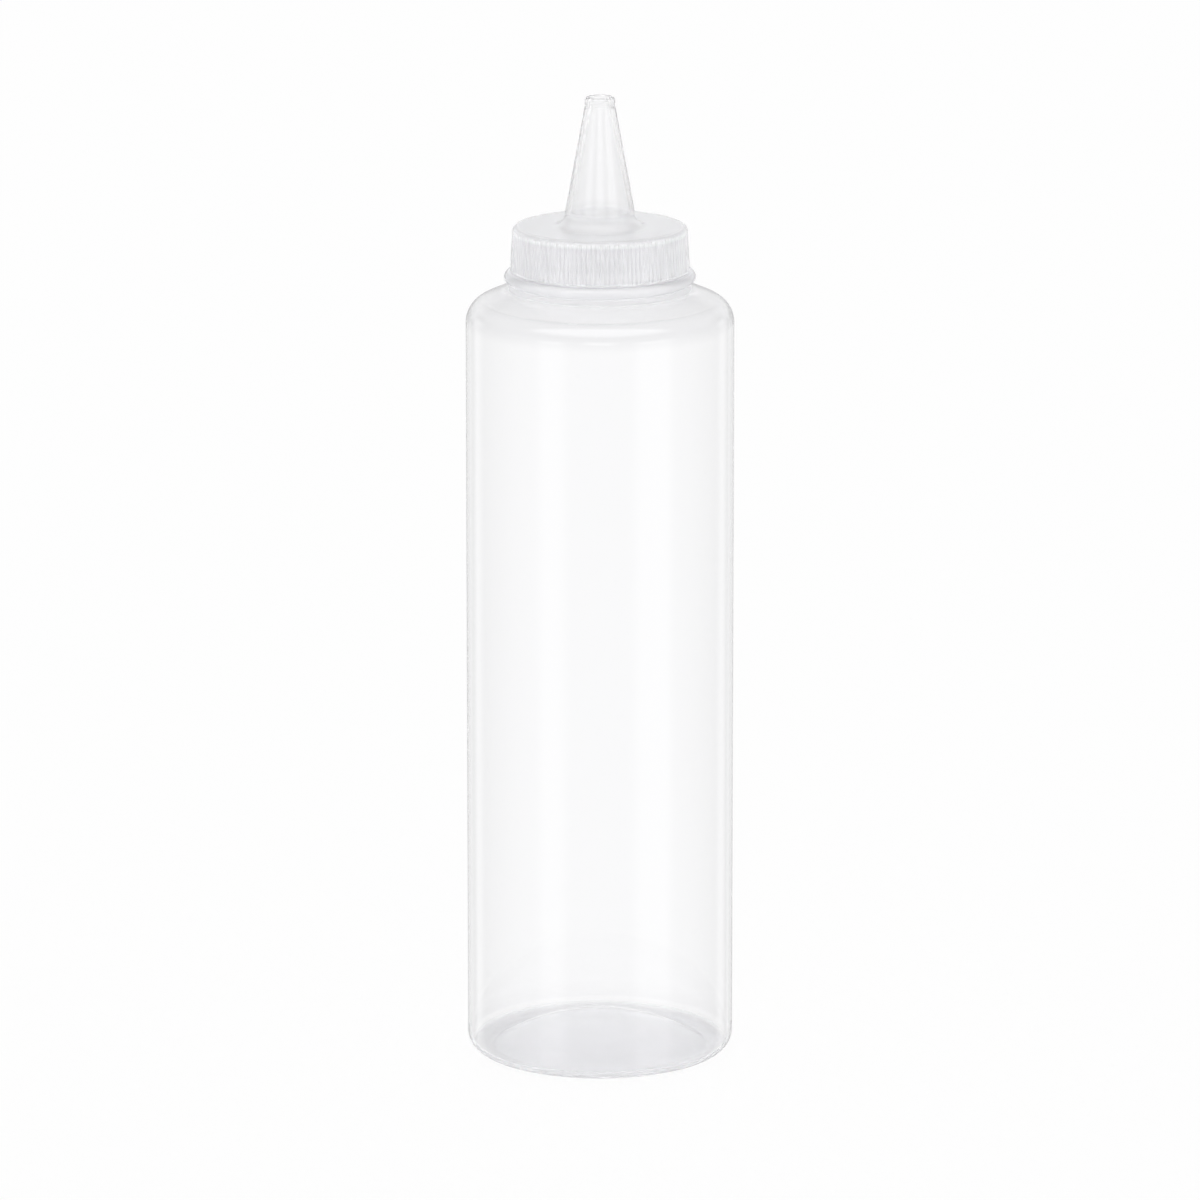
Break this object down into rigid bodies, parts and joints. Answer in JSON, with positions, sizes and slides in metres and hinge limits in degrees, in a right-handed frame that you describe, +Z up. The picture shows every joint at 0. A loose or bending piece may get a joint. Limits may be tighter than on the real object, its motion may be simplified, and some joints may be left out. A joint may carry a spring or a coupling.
{
  "type": "squeeze sauce bottle",
  "caption": "Clear plastic squeeze bottle for sauces, with a ribbed screw cap that carries an open cone nozzle; the cap unscrews and lifts off the threaded neck.",
  "frame": {"origin": "centre of the foot ring on which the bottle stands", "axes": "+Z up along the bottle's axis, from the foot to the nozzle's tip; the bottle is round, so +X and +Y are free, and the neck's thread starts at +X"},
  "size_m": [0.07, 0.07, 0.2558],
  "materials": {
    "bottle_plastic": "clear natural polyethylene, slightly milky, smooth and glossy",
    "cap_plastic": "natural polyethylene, a little milkier than the bottle, glossy deck and nozzle, ribbed skirt",
    "washer_rubber": "translucent soft seal, satin"
  },
  "bodies": {
    "bottle": {"bottle": "bottle_plastic"},
    "washer": {"sealing_washer": "washer_rubber"},
    "cap": {"cap": "cap_plastic"}
  },
  "joints": [
    {"name": "cap_rise", "type": "slide", "parent": "bottle", "child": "washer", "axis": [0, 0, 1], "range_m": [0, 0.0127]},
    {"name": "cap_turn", "type": "hinge", "parent": "washer", "child": "cap", "pos_m": [0, 0, 0.2203], "axis": [0, 0, 1], "range_deg": [0, 1080]}
  ],
  "couplings": [
    {"joint": "cap_rise", "follows": "cap_turn", "m_per_rad": 0.00067322}
  ]
}
